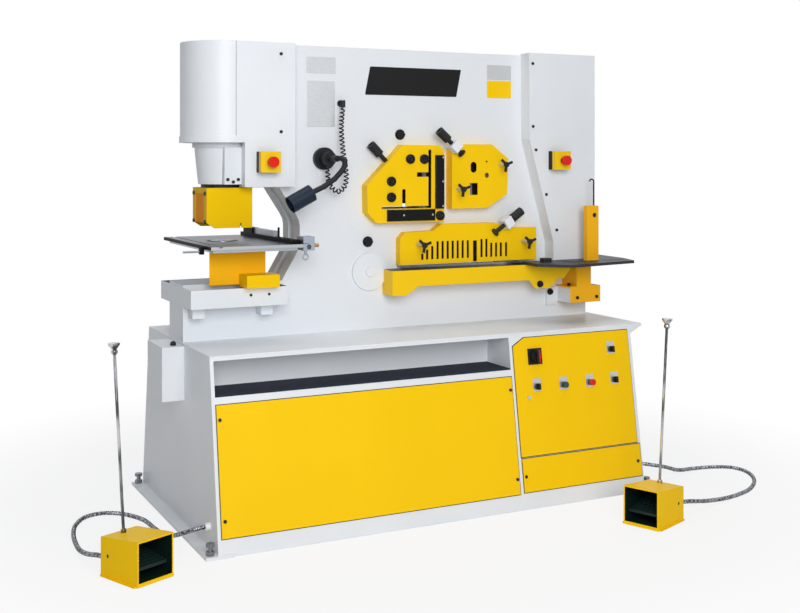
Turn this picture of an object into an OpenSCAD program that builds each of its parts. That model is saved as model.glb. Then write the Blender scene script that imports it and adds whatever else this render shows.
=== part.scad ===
// Hydraulic ironworker: punch at the left, angle, bar and plate shears in the middle, notcher at the right.
// Millimetres, +Z up, +X along the machine, -Y towards the operator. Origin: floor, centre of the base.

/* [Base] */
// Length between the outer faces of the end panels
base_length = 1750; // [1500:10:2000]
// Depth of the base at the deck
deck_depth = 800; // [700:10:900]
// Depth of the base at the floor
foot_depth = 1000; // [900:10:1100]
// Height of the deck above the floor
deck_height = 650; // [600:5:700]
// Thickness of the deck plate
deck_thick = 10; // [6:1:16]
// How far the deck reaches past the right end panel
deck_overhang = 60; // [20:5:90]
// Thickness of the end panels
end_thick = 8; // [5:1:12]
// Thickness of the folded sheets
sheet = 5; // [3:1:8]
// Thickness of the foot bars
foot_thick = 10; // [8:1:16]
// Width of the foot bars
foot_width = 98; // [80:1:120]
// Height of the tool shelf floor
shelf_height = 508; // [480:1:540]
// Depth of the tool shelf behind the front
shelf_depth = 165; // [120:5:220]
// Width of the control bay at the right
bay_width = 570; // [545:1:595]

/* [Frame] */
// Front face of the front plate
frame_front_y = -58; // [-70:1:-40]
// Thickness of the front plate
front_thick = 76; // [50:1:90]
// Gap between the plates
frame_gap = 48; // [40:1:60]
// Thickness of the rear plate
rear_thick = 56; // [40:1:70]
// Left edge of the lower jaw
frame_left = -868; // [-880:1:-840]
// Right edge of the plates
frame_right = 904; // [880:1:920]
// Top of the plates
frame_top = 1748; // [1700:1:1800]
// Top of the lower jaw
jaw_top = 858; // [840:1:880]
// Underside of the upper jaw
jaw_under = 1209; // [1190:1:1230]

/* [Punch] */
// Punch axis along the machine
punch_x = -691; // [-710:1:-670]
// Ram radius
ram_r = 45; // [35:1:55]
// Running clearance of the ram and the pivot pin
running = 0.05; // [0.02:0.01:0.1]
// Radius of the round end of the punch cover
cover_r = 157; // [140:1:170]
// Top of the punch table
table_top = 1008; // [990:1:1020]
// Thickness of the punch table
table_thick = 12; // [8:1:20]
// Radius of the punch
punch_r = 14; // [8:1:20]
// Radius of the die hole
die_hole_r = 15; // [9:1:21]
// Radius of the die
die_r = 44; // [32:1:46]

/* [Shear] */
// Pivot of the shear beam along the machine
pivot_x = -125; // [-140:1:-110]
// Height of the pivot
pivot_z = 875; // [860:1:890]
// Pivot pin radius
pin_r = 50; // [35:1:60]
// Radius of the round plates over the pivot
pivot_cap_r = 73; // [60:1:80]
// Thickness of the round plates over the pivot
pivot_cap_t = 12; // [6:1:16]
// Front plane of the angle and bar guards
guard_y = -108; // [-120:1:-90]
// Front plane of the plate shear guard
plate_guard_y = -98; // [-115:1:-85]
// Wall of the guards
guard_wall = 3; // [2:0.5:5]
// Top of the plate shear table
shear_top = 882; // [870:1:895]

/* [Controls] */
// Side of the emergency stop boxes
estop_side = 77; // [65:1:85]
// Depth of the emergency stop boxes
estop_deep = 50; // [40:1:60]
// Radius of the red mushroom buttons
mushroom_r = 20; // [16:1:22]
// Width of a control plate
bezel_w = 36; // [28:1:40]
// Height of a control plate
bezel_h = 48; // [40:1:56]
// Knob radius
knob_r = 12; // [9:1:15]

/* [Pedals] */
// Width of a pedal housing
pedal_w = 140; // [120:1:160]
// Length of a pedal housing
pedal_d = 185; // [160:1:220]
// Height of the open end
pedal_h = 140; // [120:1:150]
// Wall of a pedal housing
pedal_wall = 5; // [3:1:8]
// Radius of a carrying rod
rod_r = 5; // [4:0.5:7]
// Radius of the metal conduit
conduit_r = 8; // [6:0.5:10]

/* [Hidden] */
$fn = 64;

half_len = base_length / 2;
divider_x = half_len - bay_width;
half_deck = deck_depth / 2;
half_foot = foot_depth / 2;
sheet_top = deck_height - deck_thick;
tilt = atan2(half_foot - half_deck, deck_height);
slope_len = deck_height / cos(tilt);
front_back_y = frame_front_y + front_thick;
rear_front_y = front_back_y + frame_gap;
frame_back_y = rear_front_y + rear_thick;
mid_y = (frame_front_y + frame_back_y) / 2;
seat_z = table_top - table_thick - 11;
cover_y = mid_y - cover_r;
barrel_r = 110;
barrel_low = 1400;
slack = 1;

// Heights on the base and the frame are given for a deck at this level and follow the deck
deck_level = 650;
lean = slope_len / deck_level;
shelf_z = shelf_height * deck_height / deck_level;

// Clearance and middle of the beam
beam_gap = 3;
beam_y0 = front_back_y + beam_gap;
beam_y1 = rear_front_y - beam_gap;
beam_mid_y = (beam_y0 + beam_y1) / 2;

// Openings in the sloped front: x from, x to, height from, height to
shelf_hole = [13 - half_len, divider_x - 3, 515, 634];
big_hole = [35 - half_len, divider_x - 25, 85, 465];
door_hole = [divider_x + 35, half_len - 33, 205, 612];
low_hole = [divider_x + 40, half_len - 33, 85, 165];

// Outlines in the front view, x and z
plate_outline = [[frame_left, deck_level], [frame_right, deck_level], [frame_right, frame_top],
    [-640, frame_top], [-640, jaw_under], [-498, jaw_under], [-430, 1105], [-418, 1083], [-414, 1060],
    [-414, 981], [-486, jaw_top], [frame_left, jaw_top]];
beam_outline = [[-240, 790], [-30, 790], [40, 945], [520, 960], [700, 985], [850, 1060], [850, 1230],
    [690, 1230], [640, 1420], [150, 1420], [-110, 1330], [-240, 1000]];
angle_outline = [[-155, 1213], [0, 1371], [161, 1371], [184, 1350], [184, 1066], [-112, 1066], [-153, 1106]];
bar_outline = [[220, 1351], [261, 1375], [406, 1375], [483, 1317], [478, 1171], [384, 1116], [220, 1116]];
plate_guard_outline = [[-7, 898], [-7, 1001], [16, 1026], [140, 1030], [179, 1055], [424, 1055],
    [497, 1033], [626, 1031], [626, 898]];
cover_outline = [[575, frame_top + 6], [frame_right, frame_top + 6], [frame_right, 890], [694, 890], [694, 972],
    [577, 1399]];
cover_inner = [[579, frame_top + 2], [frame_right - 4, frame_top + 2], [frame_right - 4, 894], [698, 894],
    [698, 973], [581, 1400]];
apron_outline = [[-66, shear_top], [-66, 785], [-4, 785], [49, 818], [730, 818], [764, 858], [764, shear_top]];
notch_outline = [[530, -250], [630, -350], [985, -290], [1018, -180], [1030, 40], [912, 40], [912, -128],
    [540, -128]];

notch_thick = 12;

// Openings of the shear stations: vertical and horizontal leg of the angle slot, then the bar holes
leg_v = [112, 1125, 128, 1352];
leg_h = [-90, 1121, 128, 1137];
oval_at = [320, 1282];
oval_r = 14;
oval_half = 8;
round_at = [382, 1249];
round_r = 10;
square_lo = [303, 1170];
square_hi = [339, 1218];
plate_slot = [0, shear_top, 610, 975];

// Slots of the plate guard: x, length
guard_slots = [[91, 24], [113, 39], [136, 53], [160, 71], [183, 71], [206, 71], [229, 71], [252, 71], [275, 71],
    [299, 71], [363, 74], [386, 74], [409, 57], [432, 57], [455, 57], [480, 57]];
slot_low = 916;
slot_w = 10;
wide_slot = [323, 341];
wide_slot_top = 985;

// Screw and bolt positions, x and z on the covers
cover_screw_at = [[-515, frame_top - 42], [-515, 1417], [591, frame_top - 38], [593, 1450], [607, 1353],
    [658, 1168], [710, 1019]];
cap_at = [[31, 1315], [93, 1315], [-52, 1228], [-52, 1166], [164, 1090]];
hex_at = [[11, 1412], [-130, 992]];
foot_bolt_x = half_len + 22;
foot_bolt_y = 480;
nose_screw_at = [[-708, 1240], [-687, 1231], [-668, 1240]];
tray_screw_at = [[-648, 822], [-578, 822]];
panel_screw_at = [[25 - half_len, 441], [27 - half_len, 115], [divider_x - 14, 441], [divider_x - 14, 115],
    [divider_x + 25, 120], [half_len - 23, 120]];
bar_dot_at = [[175, 1322], [175, 1226], [175, 1128], [0, 1095], [128, 1095]];

// Hold down screws: outer end and inner end
angle_screw_a = [-128.9, -84, 1372.4];
angle_screw_b = [-62.7, -84, 1307.5];
bar_screw_a = [148, -130, 1428];
bar_screw_b = [255, -130, 1336];
plate_screw_a = [540, -120, 1102];
plate_screw_b = [412, -120, 1015];
shank_r = 9;
pad_r = 17;
pad_t = 6;

// Wing screws: x, y, z of the foot, and the plane of the arms
wing_at = [[444, guard_y, 1293], [245, guard_y, 1195], [70, plate_guard_y, 978], [557, plate_guard_y, 977]];
wing_y = -154;

// Control positions on the door: x and height
start_at = [half_len - 344, 447];
stop_at = [half_len - 220, 446];
left_at = [half_len - 465, 450];
right_at = [half_len - 102, 447];
top_at = [half_len - 107, 565];
isolator_at = [half_len - 465, 557];
lock_at = [half_len - 504, 406];
isolator_side = 61;
knob_drop = 6;
bezel_t = 2;
door_t = 3;

// Emergency stop boxes: left edge and low edge
estop_left_at = [-611, 1266];
estop_right_at = [670, 1271];

// Lamp neck from the boss to the head
neck_points = [[-318, -198, 1317], [-310, -214, 1318], [-302, -228, 1309], [-304, -234, 1292],
    [-314, -236, 1275], [-346, -236, 1242], [-388, -234, 1214], [-436, -232, 1192]];
neck_r = 10;
lamp_x = -318;
lamp_z = 1317;
head_from = [-436, -232, 1192];
head_to = [-520, -232, 1148];

// Curly lead of the lamp, socket to lamp boss
lead_points = [[-247, -84, 1515], [-250, -86, 1495], [-257, -94, 1455], [-260, -101, 1415], [-257, -108, 1350],
    [-250, -112, 1295], [-246, -116, 1251], [-254, -118, 1213], [-279, -118, 1192], [-305, -114, 1206],
    [-318, -108, 1236], [-318, -104, 1262], [-318, -104, 1280]];
lead_r = 10.5;

// Pedals: place of the open end on the floor and turn
pedal_left_at = [-half_len - 239, -615, 0];
pedal_left_turn = 24;
pedal_right_at = [half_len - 301, -856, 0];
pedal_right_turn = -68;
pedal_back_h = 122;
port_left_x = -52;
port_right_x = 40;
port_z = 50;
port_len = 8;
pivot_in = 150;
pivot_up = 67;
axle_r = 6;
rod_foot = [-8, 150];
rod_rise = 581;
ball_r = 11;
dish_r = 19;

// Metal conduits, gland to pedal; bends measured from the end panels
function placed(at, turn, p) =
    at + [p[0] * cos(turn) - p[1] * sin(turn), p[0] * sin(turn) + p[1] * cos(turn), p[2]];
left_bends = [[-18, -406, 82], [-40, -405, 80], [-70, -370, 62], [-93, -300, 34], [-107, -220, 16], [-113, -120, 9],
    [-125, 0, 9], [-175, 100, 9], [-240, 142, 9], [-307, 122, 9], [-357, 40, 9], [-383, -60, 9], [-395, -160, 10],
    [-401, -260, 18], [-395, -350, 32]];
right_bends = [[18, -406, 82], [55, -407, 82], [170, -408, 56], [267, -378, 24], [371, -346, 10], [458, -358, 9],
    [529, -396, 9], [547, -460, 9], [521, -536, 9], [465, -610, 9], [383, -676, 9], [305, -712, 9], [205, -738, 10],
    [85, -766, 22], [-25, -795, 42]];
left_run = concat([for (p = left_bends) p - [half_len, 0, 0]],
    [placed(pedal_left_at, pedal_left_turn, [port_left_x, pedal_d + port_len + 30, port_z]),
    placed(pedal_left_at, pedal_left_turn, [port_left_x, pedal_d + port_len, port_z])]);
right_run = concat([for (p = right_bends) p + [half_len, 0, 0]],
    [placed(pedal_right_at, pedal_right_turn, [port_right_x, pedal_d + port_len + 30, port_z]),
    placed(pedal_right_at, pedal_right_turn, [port_right_x, pedal_d + port_len, port_z])]);

// Straight block between two corners
module block(lo, hi) {
    translate(lo) cube(hi - lo);
}

// Outline in the front view, extruded from y0 back to y1
module upright(points, y0, y1) {
    translate([0, y1, 0]) rotate([90, 0, 0]) linear_extrude(y1 - y0) polygon(points);
}

// Outline in the end view, extruded from x0 to x1
module crosswise(points, x0, x1) {
    translate([x0, 0, 0]) rotate([90, 0, 90]) linear_extrude(x1 - x0) polygon(points);
}

// Round bar along Y
module along_y(at, y0, y1, r) {
    translate([at[0], y1, at[1]]) rotate([90, 0, 0]) cylinder(r = r, h = y1 - y0);
}

// Round bar between two points
module between(a, b, r) {
    d = b - a;
    translate(a) rotate([0, acos(d[2] / norm(d)), atan2(d[1], d[0])]) cylinder(r = r, h = norm(d));
}

// What stands on the deck follows its height
module on_deck() {
    translate([0, 0, deck_height - deck_level]) children();
}

// Everything in the plane of the sloped front: y is the depth, z runs up the slope
module on_front() {
    translate([0, -half_foot, 0]) rotate([-tilt, 0, 0]) children();
}

// Opening of the front, given by heights
module front_cut(hole, depth) {
    block([hole[0], -depth, hole[2] * lean], [hole[1], depth, hole[3] * lean]);
}

// Shell of a guard: outline with a pocket behind
module guard_shell(points, centre, k, y) {
    difference() {
        upright(points, y, frame_front_y);
        translate([centre[0], y + guard_wall, centre[1]]) rotate([90, 0, 0])
            mirror([0, 0, 1]) linear_extrude(frame_front_y - y)
                scale(k) translate(-centre) polygon(points);
    }
}

// Point on a smooth curve through four points
function smooth(a, b, c, d, t) =
    0.5 * ((2 * b) + (c - a) * t + (2 * a - 5 * b + 4 * c - d) * t * t + (3 * b - a - 3 * c + d) * t * t * t);
function unit(v) = v / norm(v);
function route(p, steps) = [for (i = [0 : len(p) - 2]) for (s = [0 : steps - 1])
    smooth(p[max(i - 1, 0)], p[i], p[i + 1], p[min(i + 2, len(p) - 1)], s / steps)];

// Round tube along a route, as one closed skin
module tube(points, r, steps, ref) {
    sides = 10;
    p = concat(route(points, steps), [points[len(points) - 1]]);
    n = len(p);
    rings = [for (i = [0 : n - 1])
        let (t = unit(p[min(i + 1, n - 1)] - p[max(i - 1, 0)]), u = unit(cross(t, ref)), v = cross(u, t))
        for (k = [0 : sides - 1]) p[i] + r * (cos(360 * k / sides) * u + sin(360 * k / sides) * v)];
    walls = [for (i = [0 : n - 2]) for (k = [0 : sides - 1])
        [i * sides + k, i * sides + (k + 1) % sides, (i + 1) * sides + (k + 1) % sides, (i + 1) * sides + k]];
    first = [for (k = [0 : sides - 1]) sides - 1 - k];
    last = [for (k = [0 : sides - 1]) (n - 1) * sides + k];
    polyhedron(rings, concat([first], walls, [last]));
}

// Folded base with end panels, sloped front and rear, floor pan, divider, shelf and foot bars
module base_cabinet() {
    hem = (half_foot - half_deck) * foot_thick / deck_height;
    skirt_x = half_len - foot_width / 2 - 6;
    color("gainsboro") {
        intersection() {
            union() {
                for (x = [-half_len, half_len - end_thick])
                    crosswise([[-half_foot, 0], [half_foot, 0], [half_deck, deck_height], [-half_deck, deck_height]],
                        x, x + end_thick);
                difference() {
                    on_front() block([-half_len, 0, 0], [half_len, sheet, slope_len]);
                    on_front() front_cut(shelf_hole, sheet + slack);
                    on_front() front_cut(big_hole, sheet + slack);
                    on_front() front_cut(door_hole, sheet + slack);
                    on_front() front_cut(low_hole, sheet + slack);
                }
                mirror([0, 1, 0]) on_front() block([-half_len, 0, 0], [half_len, sheet, slope_len]);
                crosswise([[-half_foot + hem, foot_thick], [half_foot - hem, foot_thick],
                    [half_foot - hem - slack, foot_thick + sheet], [-half_foot + hem + slack, foot_thick + sheet]],
                    -half_len, half_len);
                crosswise([[-half_foot, 0], [half_foot, 0], [half_deck, deck_height], [-half_deck, deck_height]],
                    divider_x, divider_x + sheet);
                crosswise([[-half_deck - 22, shelf_z], [-half_deck + shelf_depth, shelf_z],
                    [-half_deck + shelf_depth, sheet_top], [-half_deck + shelf_depth - sheet, sheet_top],
                    [-half_deck + shelf_depth - sheet, shelf_z + sheet], [-half_deck - 21, shelf_z + sheet]],
                    -half_len, divider_x + sheet);
            }
            union() {
                block([-half_len, -half_foot, foot_thick], [half_len, half_foot, sheet_top]);
                block([-skirt_x, -half_foot, slack], [skirt_x, half_foot, foot_thick]);
            }
        }
        for (s = [-1, 1])
            difference() {
                block([s * (half_len - 5) - foot_width / 2, -half_foot - 6, 0],
                    [s * (half_len - 5) + foot_width / 2, half_foot + 6, foot_thick]);
                for (y = [-foot_bolt_y, foot_bolt_y])
                    translate([s * foot_bolt_x, y, -slack]) cylinder(r = 8, h = foot_thick + 2 * slack);
            }
        for (s = [-1, 1])
            translate([s * half_len, -406, 82]) rotate([0, s * 90, 0]) cylinder(r = 13, h = 18);
    }
}

// Flat deck with the gusseted overhang at the right
module deck_plate() {
    color("gainsboro") {
        block([-half_len, -half_deck, sheet_top], [half_len + deck_overhang, half_deck, deck_height]);
        for (y = [-half_deck, half_deck - sheet])
            upright([[half_len, sheet_top], [half_len + deck_overhang - 4, sheet_top], [half_len, sheet_top - 30]],
                y, y + sheet);
    }
}

// Black ribbed mat on the tool shelf
module shelf_mat() {
    rib = 5;
    mat_z = shelf_z + sheet;
    color("dimgray") difference() {
        block([13 - half_len, -half_deck - 14, mat_z], [divider_x - 2, -half_deck + shelf_depth - sheet, mat_z + 6]);
        for (y = [-half_deck - 6 : 3 * rib : -half_deck + shelf_depth - 3 * rib])
            block([12 - half_len, y, mat_z + 4], [divider_x, y + rib, mat_z + 7]);
    }
}

// Large panel of the power pack bay and small panel below the door
module front_panels() {
    color("gold") on_front() {
        block([15 - half_len, -door_t, 60 * lean], [divider_x - 5, 0, 489 * lean]);
        block([divider_x + 14, -door_t, 63 * lean], [half_len - 7, 0, 185 * lean]);
    }
}

// Hinged control door with a return flange and seats for the controls
module control_door() {
    lo = 192 * lean;
    hi = 629 * lean;
    left = divider_x + 12;
    right = half_len - 17;
    flange = 12;
    color("gold") on_front() difference() {
        union() {
            rotate([90, 0, 0]) linear_extrude(door_t)
                polygon([[left, lo], [right, lo], [right, hi], [left + 52, hi], [left, 599 * lean]]);
            difference() {
                block([left + 29, 0, 212 * lean], [right - 22, flange, 604 * lean]);
                block([left + 32, -slack, 215 * lean], [right - 25, flange + slack, 601 * lean]);
            }
        }
        for (at = [start_at, stop_at, left_at, right_at, top_at])
            translate([at[0], slack, (at[1] - knob_drop) * lean]) rotate([90, 0, 0]) cylinder(r = 8, h = 2 * door_t);
        translate([isolator_at[0], slack, isolator_at[1] * lean]) rotate([90, 0, 0]) cylinder(r = 10, h = 2 * door_t);
    }
}

// Mounting plate in the control bay with switchgear on two rails
module electrics() {
    back_y = -150;
    color("silver") block([divider_x + sheet, back_y, 120], [half_len - end_thick, back_y + 3, deck_height - 50]);
    for (z = [250, 420]) {
        color("silver") block([divider_x + 55, back_y - 8, z], [half_len - 55, back_y, z + 35]);
        color("whitesmoke") for (x = [divider_x + 75 : 70 : half_len - 145])
            block([x, back_y - 80, z - 25], [x + 45, back_y - 8, z + 60]);
    }
}

// Oil tank with motor, pump and valve block inside the base
module power_pack() {
    motor_top = deck_height - 56;
    color("slategray") {
        difference() {
            block([-760, -60, foot_thick + sheet], [-60, 330, 330]);
            block([-754, -54, foot_thick + sheet + 6], [-66, 324, 324]);
        }
        translate([-560, 135, 330]) cylinder(r = 100, h = 24);
        translate([-560, 135, 354]) cylinder(r = 85, h = motor_top - 394);
        translate([-560, 135, motor_top - 40]) cylinder(r = 78, h = 40);
        block([-330, 60, 330], [-150, 210, 470]);
        for (x = [-310, -245, -180]) translate([x, 135, 470]) cylinder(r = 22, h = 70);
    }
}

// Sheet box on the left end
module side_box() {
    outer = -half_len - 81;
    top = deck_height - 8;
    color("gainsboro") {
        difference() {
            block([outer, -98, top - 194], [-half_len, 105, top]);
            block([outer + 3, -95, top - 191], [-half_len + slack, 102, top - 3]);
        }
        translate([outer + 51, -60, top]) cylinder(r = 6, h = 5);
        translate([outer + 51, -60, top + 5]) sphere(r = 11);
    }
}

// Holes of the stations through a plate or the beam
module station_holes(y0, y1, grow) {
    block([leg_v[0] - grow, y0, leg_v[1] - grow], [leg_v[2] + grow, y1, leg_v[3] + grow]);
    block([leg_h[0] - grow, y0, leg_h[1] - grow], [leg_h[2] + grow, y1, leg_h[3] + grow]);
    along_y([round_at[0], round_at[1]], y0, y1, round_r + grow);
    for (s = [-1, 1]) along_y([oval_at[0], oval_at[1] + s * oval_half], y0, y1, oval_r + grow);
    block([oval_at[0] - oval_r - grow, y0, oval_at[1] - oval_half],
        [oval_at[0] + oval_r + grow, y1, oval_at[1] + oval_half]);
    block([square_lo[0] - grow, y0, square_lo[1] - grow], [square_hi[0] + grow, y1, square_hi[1] + grow]);
}

// Room for the punch cylinder and the nose in the upper jaw
module saddle() {
    translate([punch_x, mid_y, barrel_low]) cylinder(r = barrel_r, h = frame_top);
    translate([punch_x, mid_y, jaw_under - slack]) cylinder(r = barrel_r + 6, h = barrel_low - jaw_under + slack);
}

// Front plate with the throat, the stations and the cylinder opening
module frame_front() {
    on_deck() color("gainsboro") difference() {
        upright(plate_outline, frame_front_y, front_back_y);
        saddle();
        station_holes(frame_front_y - slack, front_back_y + slack, 2);
        block([plate_slot[0], frame_front_y - slack, plate_slot[1]],
            [plate_slot[2], front_back_y + slack, plate_slot[3]]);
        block([695, frame_front_y - slack, 1180], [845, front_back_y + slack, 1660]);
        along_y([pivot_x, pivot_z], frame_front_y - slack, front_back_y + slack, pin_r);
    }
}

// Rear plate with the blocks that keep the two plates apart
module frame_rear() {
    on_deck() color("gainsboro") difference() {
        union() {
            upright(plate_outline, rear_front_y, frame_back_y);
            block([frame_left, front_back_y, deck_level], [-490, rear_front_y, jaw_top]);
            block([-490, front_back_y, deck_level], [frame_right, rear_front_y, 740]);
            block([-640, front_back_y, jaw_under], [-330, rear_front_y, frame_top]);
            block([-330, front_back_y, 1480], [frame_right, rear_front_y, frame_top]);
            block([872, front_back_y, 740], [frame_right, rear_front_y, 1480]);
        }
        saddle();
        station_holes(rear_front_y - slack, frame_back_y + slack, 6);
        block([plate_slot[0], rear_front_y - slack, plate_slot[1]],
            [plate_slot[2], frame_back_y + slack, plate_slot[3]]);
        block([695, front_back_y - slack, 1180], [845, frame_back_y - 18, 1660]);
        along_y([pivot_x, pivot_z], front_back_y, frame_back_y + slack, pin_r);
    }
}

// Pivot pin with its round cover plates
module pivot_pin() {
    on_deck() color("whitesmoke") {
        along_y([pivot_x, pivot_z], frame_front_y, frame_back_y, pin_r);
        along_y([pivot_x, pivot_z], frame_front_y - pivot_cap_t, frame_front_y, pivot_cap_r);
        along_y([pivot_x, pivot_z], frame_front_y - pivot_cap_t - 8, frame_front_y - pivot_cap_t, 19);
        along_y([pivot_x, pivot_z], frame_back_y, frame_back_y + pivot_cap_t, pivot_cap_r);
    }
}

// Rocking beam between the plates
module shear_beam() {
    on_deck() color("dimgray") difference() {
        upright(beam_outline, beam_y0, beam_y1);
        station_holes(beam_y0 - slack, beam_y1 + slack, 0);
        along_y([pivot_x, pivot_z], beam_y0 - slack, beam_y1 + slack, pin_r + running);
    }
}

// Raked upper blade under the beam
module moving_blade() {
    on_deck() color("silver") upright([[60, 890], [510, 912], [510, 959.6], [60, 945.6]], beam_y0, beam_mid_y - 0.5);
}

// Lower blade on the fixed frame
module fixed_blade() {
    on_deck() color("silver") difference() {
        block([60, beam_mid_y + 0.5, 830], [510, rear_front_y, shear_top]);
        for (x = [130, 285, 440])
            along_y([x, 856], beam_mid_y, rear_front_y + slack, 8);
    }
}

// Hydraulic cylinder that drives the beam
module shear_cylinder() {
    on_deck() color("slategray") difference() {
        translate([770, beam_mid_y, 1330]) cylinder(r = 58, h = 330);
        translate([770, beam_mid_y, 1320]) cylinder(r = 40, h = 300);
    }
}

// Piston rod that bears on the end of the beam
module shear_rod() {
    on_deck() color("silver") {
        translate([770, beam_mid_y, 1231]) cylinder(r = 35, h = 200);
        translate([770, beam_mid_y, 1431]) cylinder(r = 40 - running, h = 40);
    }
}

// Folded cover over the shear cylinder
module shear_cover() {
    on_deck() color("whitesmoke") difference() {
        upright(cover_outline, cover_y, frame_front_y);
        upright(cover_inner, cover_y + 4, frame_front_y + slack);
    }
}

// Cover with a round end over the punch cylinder, and the cheeks below it
module punch_cover() {
    low = 1376;
    right = -458;
    wall = 4;
    back_y = mid_y + cover_r;
    on_deck() color("whitesmoke") difference() {
        union() {
            translate([punch_x, mid_y, low]) cylinder(r = cover_r, h = frame_top - low);
            translate([punch_x, mid_y, low]) cylinder(r = cover_r + 3, h = 24);
            block([punch_x, cover_y, low], [right, back_y, frame_top]);
            block([-655, cover_y, 1212], [right, frame_front_y, low]);
            block([-655, frame_back_y, 1212], [right, back_y, low]);
        }
        translate([punch_x, mid_y, low - slack]) cylinder(r = cover_r - wall, h = frame_top - low - wall + slack);
        block([punch_x, cover_y + wall, low - slack], [right - wall, back_y - wall, frame_top - wall]);
        block([-655 + wall, cover_y + wall, 1212 + wall], [right - wall, frame_front_y + slack, low + slack]);
        block([-655 + wall, frame_back_y - slack, 1212 + wall], [right - wall, back_y - wall, low + slack]);
        block([-656, -86, 1218], [-650, frame_front_y + slack, low]);
        block([-656, frame_back_y - slack, 1218], [-650, 150, low]);
        block([-640, frame_front_y, 1200], [right + slack, frame_back_y, frame_top + slack]);
        block([right - wall - slack, frame_front_y, low - slack], [right + slack, frame_back_y, frame_top + slack]);
    }
}

// Button head screw on a front face
module screw_head(at, y, r, h) {
    difference() {
        along_y(at, y - h, y, r);
        translate([at[0], y - h + h / 2, at[1]]) rotate([90, 0, 0]) cylinder(r = r * 0.45, h = h, $fn = 6);
    }
}

// Dark socket screws of the covers, the panels, the tray and the nose
module socket_screws() {
    color("dimgray") on_front() for (at = panel_screw_at) screw_head([at[0], at[1] * lean], -door_t, 6, 3);
    on_deck() color("dimgray") {
        for (at = cover_screw_at) screw_head(at, cover_y, 6, 4);
        for (at = nose_screw_at) screw_head(at, -85, 6, 4);
        for (at = tray_screw_at) screw_head(at, mid_y - 201, 5, 3);
        for (y = [-38, 102]) for (z = [1084, 1188])
            translate([-779, y, z]) rotate([0, -90, 0]) cylinder(r = 7, h = 5);
        for (x = [786, 884]) screw_head([x, 736], -165, 7, 5);
        for (x = [767, 868]) translate([x, -132, 783]) cylinder(r = 8, h = 12, $fn = 6);
        for (at = bar_dot_at) along_y(at, guard_y - 10, guard_y - 8, 4);
    }
}

// Hexagon head with a washer, along Y
module hex_head(at, y, r, h) {
    along_y(at, y - 3, y, r + 3);
    translate([at[0], y - 3, at[1]]) rotate([90, 0, 0]) cylinder(r = r, h = h, $fn = 6);
}

// Hexagon bolts on the front plate, the tables and the foot bars
module hex_bolts() {
    on_deck() color("silver") {
        for (at = hex_at) hex_head(at, frame_front_y, 18, 12);
        hex_head([612, 800], -148, 11, 9);
        hex_head([712, 756], -72, 11, 9);
    }
    color("silver") for (s = [-1, 1]) for (y = [-foot_bolt_y, foot_bolt_y]) translate([s * foot_bolt_x, y, 0]) {
        cylinder(r = 8, h = 50);
        translate([0, 0, foot_thick]) cylinder(r = 15, h = 14, $fn = 6);
        translate([0, 0, 38]) cylinder(r = 15, h = 12, $fn = 6);
    }
}

// Barrel of the punch cylinder between the jaws
module punch_cylinder() {
    on_deck() color("slategray") difference() {
        translate([punch_x, mid_y, barrel_low]) cylinder(r = barrel_r, h = frame_top - 48 - barrel_low);
        translate([punch_x, mid_y, barrel_low - slack]) cylinder(r = 60, h = frame_top - 87 - barrel_low);
    }
}

// Tapered nose that guides the ram, with its flat front plate
module ram_housing() {
    on_deck() color("whitesmoke") difference() {
        union() {
            translate([punch_x, mid_y, 1209]) cylinder(r = 80, h = 13);
            translate([punch_x, mid_y, 1222]) cylinder(r1 = 90, r2 = 104, h = 136);
            translate([punch_x, mid_y, 1358]) cylinder(r = 112, h = 42);
            block([-720, -85, 1220], [-640, mid_y, 1358]);
        }
        translate([punch_x, mid_y, 1200]) cylinder(r = ram_r + running, h = 210);
    }
}

// Ram with the punch nut and the punch
module punch_ram() {
    on_deck() color("silver") {
        translate([punch_x, mid_y, 1180]) cylinder(r = ram_r, h = 330);
        translate([punch_x, mid_y, 1510]) cylinder(r = 59, h = 40);
        translate([punch_x, mid_y, 1150]) cylinder(r = 42, h = 30);
        translate([punch_x, mid_y, 1128]) cylinder(r = 34, h = 22);
        translate([punch_x, mid_y, 1064]) cylinder(r = punch_r, h = 64);
    }
}

// Square guard box round the punch with a window in its end
module punch_guard() {
    half = 88;
    wall = 3;
    lo = [punch_x - half, mid_y - half, 1060];
    hi = [punch_x + half, mid_y + half, jaw_under];
    on_deck() color("gold") difference() {
        block(lo, hi);
        block([lo[0] + wall, lo[1] + wall, lo[2] - slack], [hi[0] - wall, hi[1] - wall, hi[2] - wall]);
        translate([punch_x, mid_y, hi[2] - 2 * wall]) cylinder(r = 66, h = 4 * wall);
        block([lo[0] - slack, lo[1] + 36, 1080], [lo[0] + wall / 2, hi[1] - 36, 1188]);
        block([-650, lo[1] - slack, 1059], [-645, lo[1] + 2 * wall, 1078]);
        upright([[lo[0] - slack, lo[2] - slack], [lo[0] + 32, lo[2] - slack], [lo[0] - slack, lo[2] + 21]],
            lo[1] - slack, hi[1] + slack);
    }
}

// Steel table with a T slot and a notch round the die
module punch_table() {
    lo = [-829, -271, table_top - table_thick];
    hi = [-484, 335, table_top];
    on_deck() color("gainsboro") difference() {
        union() {
            block(lo, hi);
            block([-815, -250, seat_z], [-498, 314, table_top - table_thick]);
        }
        translate([punch_x, mid_y, table_top - 2 * table_thick]) cylinder(r = 60, h = 3 * table_thick);
        block([-800, -272, table_top - 5], [-786, 336, table_top + slack]);
    }
}

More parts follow.
